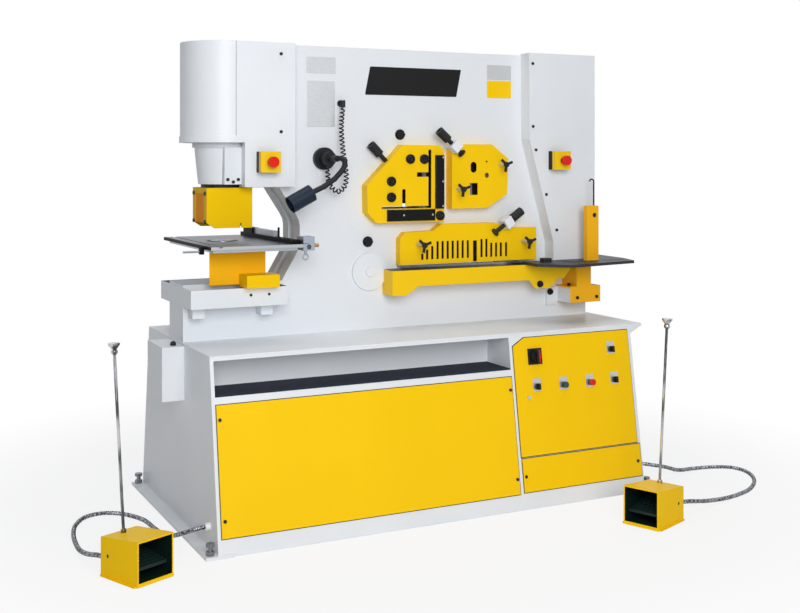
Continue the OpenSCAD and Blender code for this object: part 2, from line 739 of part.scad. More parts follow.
// Dark rail along the right of the table with its stop bar
module side_gauge() {
    rail_top = table_top + 14;
    edge_x = -829;
    on_deck() color("dimgray") {
        block([-520, -262, table_top], [-490, 326, rail_top]);
        block([-512, -41, rail_top], [-496, 184, table_top + 36]);
        block([-520, 184, rail_top], [-490, 290, table_top + 36]);
        translate([-500, -60, rail_top]) cylinder(r = 4, h = 36);
        block([edge_x - 4, -271, table_top - table_thick], [edge_x, 335, table_top]);
        block([edge_x - 18, -204, table_top - table_thick - 18], [edge_x - 4, -182, table_top - 3]);
        translate([edge_x - 18, -193, table_top - table_thick - 8]) rotate([0, -90, 0]) cylinder(r = 4, h = 60);
    }
}

// Clamp block with its stop rod, on the front of the table
module stop_rod() {
    on_deck() color("silver") {
        difference() {
            block([-483.7, -271, 984], [-440, -205, 1034]);
            block([-485, -272, 1008.5], [-462, -204, 1010]);
            along_y([-462, 997], -272, -204, 9);
        }
        translate([-440, -238, 1000]) rotate([0, 90, 0]) cylinder(r = 7, h = 28);
        translate([-462, -238, 970]) cylinder(r = 5, h = 14);
        translate([-462, -238, 958]) rotate([90, 0, 0]) rotate_extrude() translate([10, 0]) circle(r = 2.5);
    }
}

// Yellow block under the table, with the front clamp bar
module bolster() {
    on_deck() color("gold") difference() {
        union() {
            translate([0, 0, jaw_top]) linear_extrude(seat_z - jaw_top)
                polygon([[-790, -125], [-576, -125], [-576, 254], [-672, 254]]);
            block([-678, -215, jaw_top - 7], [-553, -125, jaw_top + 39]);
        }
        translate([punch_x, mid_y, jaw_top - slack]) cylinder(r = 26, h = 200);
        translate([punch_x, mid_y, seat_z - 25]) cylinder(r = die_r, h = 40);
    }
}

// Hardened die ring
module die() {
    on_deck() color("silver") difference() {
        translate([punch_x, mid_y, seat_z - 25]) cylinder(r = die_r, h = table_top - seat_z + 27);
        translate([punch_x, mid_y, seat_z - 26]) cylinder(r = die_hole_r, h = table_top);
    }
}

// Open sheet tray round the lower jaw
module tray() {
    lo = [-871, mid_y - 201, 780];
    hi = [-504, mid_y + 201, 848];
    wall = 3;
    on_deck() color("whitesmoke") {
        difference() {
            block(lo, hi);
            block([lo[0] + wall, lo[1] + wall, lo[2] + wall], [hi[0] - wall, hi[1] - wall, hi[2] + slack]);
            block([frame_left, frame_front_y, lo[2] - slack], [hi[0] + slack, frame_back_y, hi[2] + slack]);
        }
        for (x = [-850, -590]) block([x, frame_front_y - 60, 740], [x + 45, frame_front_y, 780]);
        for (x = [-850, -590]) block([x, frame_back_y, 740], [x + 45, frame_back_y + 60, 780]);
    }
}

// Guard of the angle shear with its L slot
module angle_guard() {
    on_deck() color("gold") difference() {
        guard_shell(angle_outline, [15, 1210], 0.97, guard_y);
        block([120, guard_y - slack, 1125], [126, guard_y + 5, 1353]);
        block([-92, guard_y - slack, 1121], [126, guard_y + 5, 1128]);
        block([leg_v[0] + slack, guard_y - slack, leg_v[1]], [126, guard_y + 5, leg_v[3]]);
        block([leg_h[0], guard_y - slack, leg_h[1]], [126, guard_y + 5, leg_h[1] + 9]);
        block([-3, guard_y - slack, 1128], [12, guard_y + 5, 1190]);
        along_y([4.5, 1190], guard_y - slack, guard_y + 5, 7.5);
        block([62, guard_y - slack, 1245], [118, guard_y + 5, 1263]);
    }
}

// Black blade holders beside the L slot and large screw caps
module angle_bars() {
    on_deck() color("black") {
        for (at = cap_at) {
            along_y(at, guard_y - 8, guard_y, 19);
            screw_head(at, guard_y - 8, 13, 6);
        }
        block([143, guard_y - 8, 1118], [181, guard_y, 1331]);
        block([-70, guard_y - 8, 1072], [140, guard_y, 1117]);
    }
}

// Guard of the bar shear with its round and square holes
module bar_guard() {
    on_deck() color("gold") difference() {
        guard_shell(bar_outline, [345, 1245], 0.97, guard_y);
        for (s = [-1, 1]) along_y([oval_at[0], oval_at[1] + s * oval_half], guard_y - slack, guard_y + 5, oval_r);
        block([oval_at[0] - oval_r, guard_y - slack, oval_at[1] - oval_half],
            [oval_at[0] + oval_r, guard_y + 5, oval_at[1] + oval_half]);
        along_y(round_at, guard_y - slack, guard_y + 5, round_r);
        along_y([381, 1305], guard_y - slack, guard_y + 5, 4);
        block([square_lo[0], guard_y - slack, square_lo[1]], [square_hi[0], guard_y + 5, square_hi[1]]);
        for (z = [1150, 1280]) block([219, -95, z], [227, -89, z + 40]);
    }
}

// Slotted guard of the plate shear
module plate_guard() {
    on_deck() color("gold") difference() {
        guard_shell(plate_guard_outline, [310, 960], 0.985, plate_guard_y);
        for (slot = guard_slots)
            block([slot[0] - slot_w / 2, plate_guard_y - slack, slot_low],
                [slot[0] + slot_w / 2, plate_guard_y + 5, slot_low + slot[1]]);
        block([wide_slot[0], plate_guard_y - slack, shear_top], [wide_slot[1], plate_guard_y + 5, wide_slot_top]);
    }
}

// Table of the plate shear with its apron and gusset
module shear_table() {
    on_deck() color("gold") {
        difference() {
            upright(apron_outline, -150, frame_front_y);
            block([-60, -144, 780], [760, frame_front_y - 6, shear_top - 8]);
            along_y([pivot_x, pivot_z], frame_front_y - pivot_cap_t - 2, frame_front_y + slack, pivot_cap_r + 2);
        }
        upright([[560, 818], [700, 818], [664, 782], [590, 782]], -148, -142);
    }
}

// Hold down screw: knob and shank along one line
module hold_down(a, b) {
    d = unit(b - a);
    difference() {
        between(a, a + 55 * d, 18);
        between(a - slack * d, a + 6 * d, 10);
    }
    between(a + 48 * d, b, shank_r);
}

// Round pad at the end of a hold down screw
module pad(a, b) {
    between(b - pad_t * unit(b - a), b, pad_r);
}

// White block on the shank of a hold down screw, set against the guard
module screw_block(a, b, share) {
    d = b - a;
    difference() {
        translate(a + share * d) rotate([0, -atan2(d[2], d[0]), 0]) cube([38, 44, 40], center = true);
        between(a, b, shank_r + running);
    }
}

// White blocks that carry the hold down screws
module hold_down_blocks() {
    on_deck() color("whitesmoke") {
        screw_block(bar_screw_a, bar_screw_b, 0.68);
        screw_block(plate_screw_a, plate_screw_b, 0.53);
    }
}

// Hold down screws with black knobs
module hold_down_angle() {
    on_deck() color("black") hold_down(angle_screw_a, angle_screw_b);
}

module hold_down_bar() {
    on_deck() color("black") {
        hold_down(bar_screw_a, bar_screw_b);
        pad(bar_screw_a, bar_screw_b);
    }
}

module hold_down_plate() {
    on_deck() color("black") {
        hold_down(plate_screw_a, plate_screw_b);
        pad(plate_screw_a, plate_screw_b);
    }
}

// Three armed clamping screws
module wing_screws() {
    on_deck() color("dimgray") for (p = wing_at) translate([p[0], wing_y, p[2]]) rotate([90, 0, 0]) {
        translate([0, 0, wing_y - p[1]]) cylinder(r = 7, h = p[1] - wing_y);
        cylinder(r = 11, h = 10);
        for (a = [20, 140, 260]) rotate([0, 0, a]) translate([0, -5, 2]) cube([30, 10, 6]);
    }
}

// Black table of the notcher
module notch_table() {
    top = shear_top + notch_thick;
    on_deck() color("dimgray") {
        difference() {
            translate([0, 0, shear_top]) linear_extrude(notch_thick) polygon(notch_outline);
            for (y = [-255, -222]) block([660, y, top - 4], [985, y + 9, top + slack]);
            block([700, -300, top - 4], [709, -130, top + slack]);
        }
        block([596, -205, top], [632, -172, top + 16]);
    }
}

// Yellow blocks under the notcher table, the post with its hooked rod and the white lug
module notch_stand() {
    on_deck() color("gold") {
        block([783, -165, 783], [856, frame_front_y, shear_top]);
        block([750, -165, 715], [904, frame_front_y, 783]);
        difference() {
            block([800, -216, shear_top + notch_thick], [858, -190, 1121]);
            block([804, -212, shear_top], [854, -189, 1117]);
            along_y([838, 1082], -217, -200, 10);
        }
    }
    on_deck() color("whitesmoke") block([698, -72, 700], [750, frame_front_y, 776]);
    on_deck() color("dimgray") {
        translate([846, -198, 1121]) cylinder(r = 3, h = 100);
        translate([836, -198, 1221]) rotate([90, 0, 0]) rotate_extrude(angle = 180) translate([10, 0]) circle(r = 3);
    }
}

// Square bezels of the controls and the lock
module control_plates() {
    color("silver") on_front() {
        for (at = [start_at, stop_at, left_at, right_at, top_at]) difference() {
            block([at[0] - bezel_w / 2, -door_t - bezel_t, at[1] * lean - bezel_h / 2],
                [at[0] + bezel_w / 2, -door_t, at[1] * lean + bezel_h / 2]);
            translate([at[0], 0, (at[1] - knob_drop) * lean]) rotate([90, 0, 0]) cylinder(r = 8, h = 10);
        }
        difference() {
            block([isolator_at[0] - isolator_side / 2, -door_t - 6, isolator_at[1] * lean - isolator_side / 2],
                [isolator_at[0] + isolator_side / 2, -door_t, isolator_at[1] * lean + isolator_side / 2]);
            translate([isolator_at[0], 0, isolator_at[1] * lean]) rotate([90, 0, 0]) cylinder(r = 10, h = 20);
        }
        translate([lock_at[0], -door_t, lock_at[1] * lean]) rotate([90, 0, 0]) cylinder(r = 8, h = 6);
    }
}

// Shaft and head of a door control
module door_knob(at, drop, face, r, h) {
    on_front() translate([at[0], 0, (at[1] - drop) * lean]) rotate([90, 0, 0]) {
        translate([0, 0, -16]) cylinder(r = 7, h = 16 + face);
        translate([0, 0, face]) cylinder(r = r, h = h);
        children();
    }
}

// Rotary main switch
module isolator() {
    color("red") door_knob(isolator_at, 0, door_t + 6.5, 21, 10)
        translate([-7, -24, door_t + 16]) cube([14, 48, 16]);
}

// Selector knobs
module selector(at) {
    color("black") door_knob(at, knob_drop, door_t + bezel_t + 0.5, knob_r, 10)
        translate([-4, -knob_r, door_t + bezel_t + 10]) cube([8, 2 * knob_r, 12]);
}

module selector_top() {
    selector(top_at);
}

module selector_left() {
    selector(left_at);
}

module selector_right() {
    selector(right_at);
}

// Push buttons
module start_button() {
    color("black") door_knob(start_at, knob_drop, door_t + bezel_t + 6, knob_r, 14);
}

module stop_button() {
    color("red") door_knob(stop_at, knob_drop, door_t + bezel_t + 6, knob_r, 18);
}

// Yellow boxes of the emergency stops
module estop_boxes() {
    on_deck() color("gold") for (at = [estop_left_at, estop_right_at]) difference() {
        block([at[0], cover_y - estop_deep, at[1]], [at[0] + estop_side, cover_y, at[1] + estop_side]);
        along_y([at[0] + estop_side / 2, at[1] + estop_side / 2], cover_y - estop_deep - slack, cover_y - 10,
            12 + running);
    }
}

// Red mushroom button
module mushroom(at) {
    c = [at[0] + estop_side / 2, at[1] + estop_side / 2];
    y = cover_y - estop_deep;
    on_deck() color("red") {
        along_y(c, y - 18, y + 30, 12);
        along_y(c, y - 34, y - 18, mushroom_r);
    }
}

module estop_left() {
    mushroom(estop_left_at);
}

module estop_right() {
    mushroom(estop_right_at);
}

// Work lamp: round base, bosses, bent neck and head
module lamp() {
    d = unit(head_to - head_from);
    on_deck() color("dimgray") {
        along_y([lamp_x, lamp_z], -78, frame_front_y, 43);
        along_y([lamp_x, lamp_z], -130, -78, 26);
        along_y([lamp_x, lamp_z], -198, -130, 12);
        for (i = [0 : len(neck_points) - 2]) {
            between(neck_points[i], neck_points[i + 1], neck_r);
            translate(neck_points[i + 1]) sphere(r = neck_r + 0.8);
        }
        difference() {
            between(head_from, head_to, 32);
            between(head_from + 60 * d, head_to + slack * d, 28);
        }
        translate([lamp_x, -104, 1280]) cylinder(r = 10, h = 16);
        along_y([-247, 1530], -70, frame_front_y, 13);
        translate([-247, -84, 1515]) cylinder(r = 10, h = 26);
        block([-255, -80, 1522], [-239, -66, 1538]);
    }
}

// Curly lead of the lamp
module lamp_cord() {
    on_deck() color("black") tube(lead_points, lead_r, 3, [0, 1, 0]);
}

// Hooded pedal housing with its carrying rod
module pedal(turn_out, port_x) {
    inner = pedal_w / 2 - pedal_wall;
    color("gold") {
        difference() {
            crosswise([[0, 0], [pedal_d, 0], [pedal_d, pedal_back_h], [0, pedal_h]], -pedal_w / 2, pedal_w / 2);
            crosswise([[-slack, 12], [pedal_d - 12, 12], [pedal_d - 12, pedal_back_h - 7],
                [-slack, pedal_h - pedal_wall]], -inner, inner);
            translate([-pedal_w, pivot_in, pivot_up]) rotate([0, 90, 0])
                cylinder(r = axle_r + running, h = 2 * pedal_w);
        }
        translate([port_x, pedal_d, port_z]) rotate([-90, 0, 0]) cylinder(r = 12, h = port_len);
        for (s = [-1, 1]) block([s * (pedal_w / 2 + 4) - 4, 6, 0], [s * (pedal_w / 2 + 4) + 4, pedal_d - 6, 5]);
    }
    way = [turn_out[0], turn_out[1], rod_rise];
    color("silver") translate([rod_foot[0], rod_foot[1], pedal_back_h - 1])
        rotate([0, acos(way[2] / norm(way)), atan2(way[1], way[0])]) {
            cylinder(r = rod_r + 4, h = 17);
            cylinder(r = rod_r, h = norm(way));
            translate([0, 0, norm(way)]) {
                sphere(r = ball_r);
                translate([0, 0, 8]) cylinder(r1 = 8, r2 = dish_r, h = 14);
                translate([0, 0, 22]) cylinder(r = dish_r, h = 6);
            }
        }
}

// Ribbed foot plate inside the hood
module treadle() {
    half = pedal_w / 2 - pedal_wall - 3;
    color("black") difference() {
        union() {
            crosswise([[22, 42], [150, 62], [150, 72], [22, 52]], -half, half);
            translate([-half, pivot_in, pivot_up]) rotate([0, 90, 0]) cylinder(r = 10, h = 2 * half);
            translate([slack - pedal_w / 2, pivot_in, pivot_up]) rotate([0, 90, 0])
                cylinder(r = axle_r, h = pedal_w - 2 * slack);
        }
        for (y = [34 : 16 : 114])
            translate([-half - slack, y, 51 + (y - 34) * 20 / 128]) cube([2 * half + 2 * slack, 6, 10]);
    }
}

module pedal_left() {
    translate(pedal_left_at) rotate([0, 0, pedal_left_turn]) pedal([-19, 23], port_left_x);
}

module treadle_left() {
    translate(pedal_left_at) rotate([0, 0, pedal_left_turn]) treadle();
}

module pedal_right() {
    translate(pedal_right_at) rotate([0, 0, pedal_right_turn]) pedal([20, 18], port_right_x);
}

module treadle_right() {
    translate(pedal_right_at) rotate([0, 0, pedal_right_turn]) treadle();
}

// Metal conduits to the pedals
module conduit_left() {
    color("silver") tube(left_run, conduit_r, 4, [0, 0, 1]);
}

module conduit_right() {
    color("silver") tube(right_run, conduit_r, 4, [0, 0, 1]);
}

base_cabinet();
deck_plate();
shelf_mat();
front_panels();
control_door();
electrics();
power_pack();
side_box();
frame_front();
frame_rear();
pivot_pin();
shear_beam();
moving_blade();
fixed_blade();
shear_cylinder();
shear_rod();
shear_cover();
punch_cover();
socket_screws();
hex_bolts();
punch_cylinder();
ram_housing();
punch_ram();
punch_guard();
punch_table();
side_gauge();
stop_rod();
bolster();
die();
tray();
angle_guard();
angle_bars();
bar_guard();
plate_guard();
shear_table();
hold_down_blocks();
hold_down_angle();
hold_down_bar();
hold_down_plate();
wing_screws();
notch_table();
notch_stand();
control_plates();
isolator();
selector_top();
selector_left();
selector_right();
start_button();
stop_button();
estop_boxes();
estop_left();
estop_right();
lamp();
lamp_cord();
pedal_left();
treadle_left();
pedal_right();
treadle_right();
conduit_left();
conduit_right();
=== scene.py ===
# %% [markdown]
# A hydraulic ironworker stands on two foot bars: a sloped cabinet, two thick frame plates, a punch at the
# left, shears in the middle and a notcher at the right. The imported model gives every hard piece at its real
# size, so this lesson only dresses it: finishes, cords, bare plates and a few fine pieces that a sheet metal
# shop would add last. Lengths are in metres unless a cell says otherwise, +Z is up, and the operator stands on
# the -Y side.

# %% Load the frame
import math

import bmesh
import bpy
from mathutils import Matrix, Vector


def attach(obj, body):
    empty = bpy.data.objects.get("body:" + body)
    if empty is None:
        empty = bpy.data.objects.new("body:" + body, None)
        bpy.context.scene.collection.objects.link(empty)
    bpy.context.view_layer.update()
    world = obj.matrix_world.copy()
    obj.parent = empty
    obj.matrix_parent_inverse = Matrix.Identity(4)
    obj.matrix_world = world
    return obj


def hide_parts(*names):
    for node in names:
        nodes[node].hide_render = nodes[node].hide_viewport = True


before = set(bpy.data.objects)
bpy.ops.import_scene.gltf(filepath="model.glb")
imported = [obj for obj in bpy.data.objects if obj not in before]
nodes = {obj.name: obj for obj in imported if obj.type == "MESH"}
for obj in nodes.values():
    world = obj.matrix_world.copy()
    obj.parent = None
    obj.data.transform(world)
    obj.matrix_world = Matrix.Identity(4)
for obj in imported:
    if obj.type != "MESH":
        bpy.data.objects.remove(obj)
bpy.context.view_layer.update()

# %% [markdown]
# The camera stands to the left of the machine's middle at chest height and looks level, turned a little to
# the right. A level camera keeps the uprights parallel, and a downward lens shift frames the machine, which
# is how a product photographer does it.

# %% Camera
CAMERA_AT = (-2.0524, -4.1984, 1.3174)
CAMERA_TURN = math.radians(-26.5)
LENS_MM = 52.5
SHIFT_Y = -0.185

camera_data = bpy.data.cameras.new("camera")
camera_data.lens = LENS_MM
camera_data.sensor_width = 36
camera_data.shift_y = SHIFT_Y
camera = bpy.data.objects.new("camera", camera_data)
camera.location = CAMERA_AT
camera.rotation_euler = (math.pi / 2, 0, CAMERA_TURN)
bpy.context.scene.collection.objects.link(camera)
bpy.context.scene.camera = camera
print("camera", CAMERA_AT, LENS_MM, "mm")

# %% [markdown]
# Shader maths reads best as plain expressions. One small class wraps an output socket and turns +, -, *, < and
# > into Math nodes, so a mask is written as it would be on paper. A finish owns one material and has one
# method that adds any other node.

# %% Sockets and finishes
class Wire:
    """An output socket that can be used in sums."""

    def __init__(self, finish, socket):
        self.finish = finish
        self.socket = socket

    def math(self, operation, a, b):
        return self.finish.add("ShaderNodeMath", {"operation": operation}, {0: a, 1: b})

    def __add__(self, other):
        return self.math("ADD", self, other)

    def __radd__(self, other):
        return self.math("ADD", other, self)

    def __sub__(self, other):
        return self.math("SUBTRACT", self, other)

    def __rsub__(self, other):
        return self.math("SUBTRACT", other, self)

    def __mul__(self, other):
        return self.math("MULTIPLY", self, other)

    def __rmul__(self, other):
        return self.math("MULTIPLY", other, self)

    def __gt__(self, other):
        return self.math("GREATER_THAN", self, other)

    def __lt__(self, other):
        return self.math("LESS_THAN", self, other)

    def __abs__(self):
        return self.math("ABSOLUTE", self, 0.0)


class Finish:
    """One material, its shader and the way to add nodes to it."""

    def __init__(self, name):
        self.material = bpy.data.materials.new(name)
        self.material.use_nodes = True
        self.tree = self.material.node_tree
        self.shader = self.tree.nodes["Principled BSDF"]

    def add(self, kind, settings=None, inputs=None, out=0):
        node = self.tree.nodes.new(kind)
        for key, value in (settings or {}).items():
            setattr(node, key, value)
        for key, value in (inputs or {}).items():
            self.feed(node.inputs[key], value)
        return Wire(self, node.outputs[out])

    def feed(self, socket, value):
        if isinstance(value, Wire):
            self.tree.links.new(value.socket, socket)
        elif socket.type == "RGBA" and len(value) == 3:
            socket.default_value = (*value, 1.0)
        else:
            socket.default_value = value

    def set(self, **values):
        for key, value in values.items():
            self.feed(self.shader.inputs[key.replace("_", " ").title().replace("Ior", "IOR")], value)
        return self

    def place(self):
        return self.add("ShaderNodeTexCoord", out="Object")

    def axes(self):
        place = self.place()
        return [self.add("ShaderNodeSeparateXYZ", None, {0: place}, out=i) for i in range(3)]

    def noise(self, scale, detail, stretch=(1, 1, 1)):
        spot = self.add("ShaderNodeMapping", None, {"Vector": self.place(), "Scale": stretch})
        return self.add("ShaderNodeTexNoise", None, {"Vector": spot, "Scale": scale, "Detail": detail})

    def ramp(self, value, low, high):
        return self.add("ShaderNodeMapRange", {"interpolation_type": "SMOOTHSTEP"},
                        {"Value": value, "From Min": low, "From Max": high})

    def mix(self, share, first, second):
        return self.add("ShaderNodeMix", {"data_type": "RGBA"}, {0: share, 6: first, 7: second}, out=2)

    def edge(self, radius):
        """How near a point is to a hard edge, from 0 on a flat to about 1, and the rounded normal."""
        soft = self.add("ShaderNodeBevel", {"samples": 4}, {"Radius": radius})
        hard = self.add("ShaderNodeNewGeometry", out="Normal")
        turn = self.add("ShaderNodeVectorMath", {"operation": "DOT_PRODUCT"}, {0: soft, 1: hard}, out="Value")
        return self.ramp(1 - turn, 0.02, 0.2), soft

    def bump(self, height, distance, normal):
        return self.add("ShaderNodeBump", None,
                        {"Height": height, "Distance": distance, "Strength": 1.0, "Normal": normal})


def srgb(red, green, blue):
    """A colour as a screen shows it, 0 to 255, turned into light."""
    def light(v):
        v = v / 255
        return v / 12.92 if v <= 0.04045 else ((v + 0.055) / 1.055) ** 2.4
    return light(red), light(green), light(blue)


print("finish kit ready")

# %% [markdown]
# Machine enamel is sprayed thick over filler, so it is smooth but never optically flat: a faint orange peel
# catches the light, the tone drifts a little from panel to panel, and corners are softened by the paint.
# A bevel in the normal gives those soft corners without touching the imported meshes. The edges are also
# painted a little lighter: a painted highlight.

# %% Enamel
CORNER = 0.0016


def enamel(name, colour, rough=0.36, drift=0.05, shine=0.3):
    f = Finish(name)
    cloud = f.noise(2.2, 4.0)
    speck = f.noise(160.0, 2.0)
    rim, soft = f.edge(CORNER)
    shade = f.mix(f.ramp(cloud, 0.35, 0.7), [v * (1 - drift) for v in colour], colour)
    # Painted highlight: the edges are mixed towards a lighter tone of the paint.
    highlit_edges = f.mix(rim * 0.35, shade, [min(1, v * 1.12 + 0.01) for v in colour])
    f.set(base_color=highlit_edges, roughness=rough + 0.12 * (cloud - 0.5) + 0.06 * (speck - 0.5))
    f.set(specular_ior_level=shine, coat_weight=0.2 * shine, coat_roughness=0.12)
    f.set(normal=f.bump(f.noise(420.0, 1.0), 0.00012, soft))
    return f


WHITE = srgb(232, 236, 241)
YELLOW = srgb(252, 204, 10)
# This orange yellow is the yellow paint as it looks in shade: painted shade.
SHADED_YELLOW = srgb(254, 186, 22)
BLACK = srgb(22, 22, 24)
DARK = srgb(28, 28, 31)
SILVER = srgb(168, 171, 176)
# A dark brown used as painted shade in pockets and behind slots.
PAINTED_SHADE = srgb(36, 20, 16)
white_enamel = enamel("white_enamel", WHITE)
yellow_enamel = enamel("yellow_enamel", YELLOW, 0.42, 0.03, 0.12)
black_enamel = enamel("black_enamel", BLACK, 0.4, 0.2, 0.15)
grey_enamel = enamel("grey_enamel", srgb(112, 120, 128), 0.42, 0.1)
print("enamels made")

# %% [markdown]
# Steel comes in several states here: bright turned rods, ground blades with fine parallel scratches and dark
# rolled plate. One function makes them all: stretched noise for the tool marks, a little more roughness in
# patches, and lighter metal along the edges as a painted highlight. The plated conduits get dark and bright
# flecks, which are painted shade and highlights of their ridges.

# %% Steel
def steel(name, colour, rough, marks, edge_highlight=0.5, metal=1.0):
    f = Finish(name)
    lines = f.noise(55.0, 5.0, marks)
    patch = f.noise(9.0, 4.0)
    rim, soft = f.edge(0.0008)
    tone = f.mix(f.ramp(lines, 0.3, 0.7), [v * 0.8 for v in colour], colour)
    # Painted highlight: the edges are mixed towards a light steel tone.
    tone = f.mix(rim * edge_highlight, tone, srgb(196, 198, 200))
    f.set(base_color=tone, metallic=metal, roughness=rough + 0.18 * (lines - 0.5) + 0.16 * (patch - 0.5))
    f.set(normal=f.bump(lines, 0.00006, soft))
    return f


bright_steel = steel("bright_steel", srgb(178, 181, 186), 0.26, (1, 1, 60))
ground_steel = steel("ground_steel", srgb(150, 157, 168), 0.36, (1, 60, 1))
dark_steel = steel("dark_steel", srgb(44, 46, 52), 0.46, (30, 1, 1), 0.3, 0.6)


def glint_flecked(name, dark, bright, rough, scale):
    """Plated metal with dark and bright flecks painted on as the shade and highlights of its ridges."""
    f = Finish(name)
    # Painted shade and painted highlight: random dark and bright flecks stand for the ridges' glints.
    glint_fleck = f.ramp(f.noise(scale, 2.0), 0.36, 0.64)
    f.set(base_color=f.mix(glint_fleck, dark, bright), metallic=1.0, roughness=rough + 0.1 * (glint_fleck - 0.5))
    return f


conduit_steel = glint_flecked("conduit_steel", srgb(66, 68, 72), srgb(154, 156, 161), 0.26, 130.0)
print("steels made")

# %% [markdown]
# Plastics and rubber: moulded knobs have a fine leather-like grain, and the shelf mat is ribbed rubber. The
# grain is noise in the bump, which keeps the mesh light. The edges are painted lighter: a painted highlight.

# %% Plastic and rubber
def plastic(name, colour, rough, grain=0.00008):
    f = Finish(name)
    pores = f.noise(700.0, 2.0)
    cloud = f.noise(18.0, 3.0)
    rim, soft = f.edge(0.0009)
    tone = f.mix(cloud * 0.5, [v * 0.88 for v in colour], colour)
    # Painted highlight: the edges are mixed towards a lighter tone.
    tone = f.mix(rim * 0.25, tone, [min(1, v * 1.3 + 0.03) for v in colour])
    f.set(base_color=tone, roughness=rough + 0.15 * (pores - 0.5), specular_ior_level=0.25)
    f.set(normal=f.bump(pores, grain, soft))
    return f


black_plastic = plastic("black_plastic", srgb(26, 27, 30), 0.42)
pale_plastic = plastic("pale_plastic", srgb(205, 208, 210), 0.4)
mat_rubber = plastic("mat_rubber", srgb(38, 44, 58), 0.72, 0.0003)
lead_rubber = plastic("lead_rubber", srgb(22, 22, 24), 0.5)
print("plastics made")

# %% [markdown]
# Some pieces leave the shop in several colours although they are one node: a stop box with a yellow lid and a
# black back, a stand with a white lug and a black hook. Masks worked out from the place on the piece choose
# the tones, so the borders are crisp and move with the piece. Each patch is a mask, a colour, a roughness and
# how metallic it is. Some masks paint shade instead of a colour of the piece, and every edge is painted a
# little lighter as a painted highlight.

# %% Patched finishes
def patched(name, colour, rough, metal, patches, edge_highlight=0.12, shine=0.2):
    f = Finish(name)
    places = f.axes()
    grain = f.noise(300.0, 3.0)
    rim, soft = f.edge(0.001)
    tone, roughness, metallic = colour, rough, metal
    for mask_of, patch_colour, patch_rough, patch_metal in patches:
        mask = mask_of(*places)
        tone = f.mix(mask, tone, patch_colour)
        roughness = roughness + (patch_rough - roughness) * mask
        metallic = metallic + (patch_metal - metallic) * mask
    tone = f.mix(grain * 0.08, tone, (0.02, 0.02, 0.02))
    # Painted highlight: the edges are mixed towards a light grey.
    f.set(base_color=f.mix(rim * edge_highlight, tone, srgb(215, 216, 218)), normal=f.bump(grain, 0.00005, soft))
    f.set(roughness=roughness + 0.1 * (grain - 0.5), metallic=metallic, specular_ior_level=shine)
    return f


TAN_SLOPE = 100 / 650
SLOPE_FOOT_Y = -0.5


def proud(y, z, out):
    """Where a place lies in front of the sloped face by more than a given depth."""
    return y - TAN_SLOPE * z < SLOPE_FOOT_Y - out


def within(value, low, high):
    return (value > low) * (value < high)


# Painted shade: the front plate behind the angle and bar guards is painted dark, where the pocket lies in shade.
def shade_behind_guards(x, y, z):
    angle = within(x, -0.1, 0.17) * within(z, 1.095, 1.35) * (z - 1.0194 * x < 1.33)
    bar = within(x, 0.226, 0.4) * within(z, 1.13, 1.36)
    return (angle + bar > 0.5) * (y < -0.0575)


def in_tray(x, y, z):
    return within(x, -0.8685, -0.5065) * within(y, -0.1655, 0.2305) * within(z, 0.7825, 0.8475)


def jaw_top(x, y, z):
    return (x < -0.488) * within(z, 0.8574, 0.8586)


def guard_screws(x, y, z):
    return within(y, -0.1182, -0.1158) * within(z, 1.08, 1.34)


def guard_window(x, y, z):
    return within(x, -0.7785, -0.7765) * within(y, -0.0195, 0.0845) * within(z, 1.0795, 1.1885)


stop_box = patched("stop_box", srgb(250, 206, 24), 0.4, 0.0, [(lambda x, y, z: y > -0.1535, DARK, 0.45, 0.0)])
mushroom = patched("mushroom", srgb(226, 34, 20), 0.26, 0.0, [(lambda x, y, z: y > -0.1925, DARK, 0.45, 0.0)])
bezel = patched("bezel", srgb(196, 199, 203), 0.32, 0.7,
                [(lambda x, y, z: (x < 0.45) * (z > 0.51), srgb(18, 18, 20), 0.38, 0.0)])
switch = patched("main_switch", srgb(26, 24, 24), 0.35, 0.0,
                 [(lambda x, y, z: (x > 0.4115) * proud(y, z, 0.0155), srgb(206, 40, 24), 0.3, 0.0)])
# Painted shade: the post's body is in the orange shaded yellow.
post = patched("notch_post", SHADED_YELLOW, 0.42, 0.0,
               [(lambda x, y, z: z > 1.1212, DARK, 0.4, 0.6),
                (lambda x, y, z: (x < 0.7502) * (z < 0.7765), WHITE, 0.36, 0.0)])
stop_block = patched("stop_block", srgb(160, 168, 182), 0.34, 0.8,
                     [(lambda x, y, z: x > -0.4395, srgb(170, 140, 92), 0.32, 0.9)])
start_cap = patched("start_cap", DARK, 0.4, 0.0,
                    [(lambda x, y, z: proud(y, z, 0.0225), srgb(46, 82, 82), 0.3, 0.0)])
stop_cap = patched("stop_cap", DARK, 0.4, 0.0,
                   [(lambda x, y, z: proud(y, z, 0.0195), srgb(220, 36, 28), 0.26, 0.0)])
# Painted shade: the bolster is in the orange shaded yellow, and only its lit front bar is in the plain yellow.
bolster_shade_paint = patched("bolster_shade_paint", SHADED_YELLOW, 0.42, 0.0, [(lambda x, y, z: y < -0.1255, YELLOW, 0.42, 0.0)],
                        0.05, 0.06)
# Painted shade: the window on the guard's left face is painted orange, the tone the yellow takes in shade.
guard_paint = patched("guard_paint", YELLOW, 0.45, 0.0, [(guard_window, srgb(255, 158, 20), 0.5, 0.0)], 0.05, 0.04)
# The top face of the shear table is painted near-black.
apron_paint = patched("apron_paint", YELLOW, 0.42, 0.0, [(lambda x, y, z: z > 0.8815, srgb(30, 30, 32), 0.4, 0.3)])
# Painted shade: the table's top is painted darker than its sides.
table_shaded_steel = patched("table_shaded_steel", srgb(178, 182, 188), 0.34, 0.6,
                      [(lambda x, y, z: z > 1.0076, srgb(74, 80, 92), 0.32, 0.25)], 0.3)
bar_black = patched("bar_black", srgb(18, 18, 20), 0.4, 0.0, [], 0.45, 0.1)
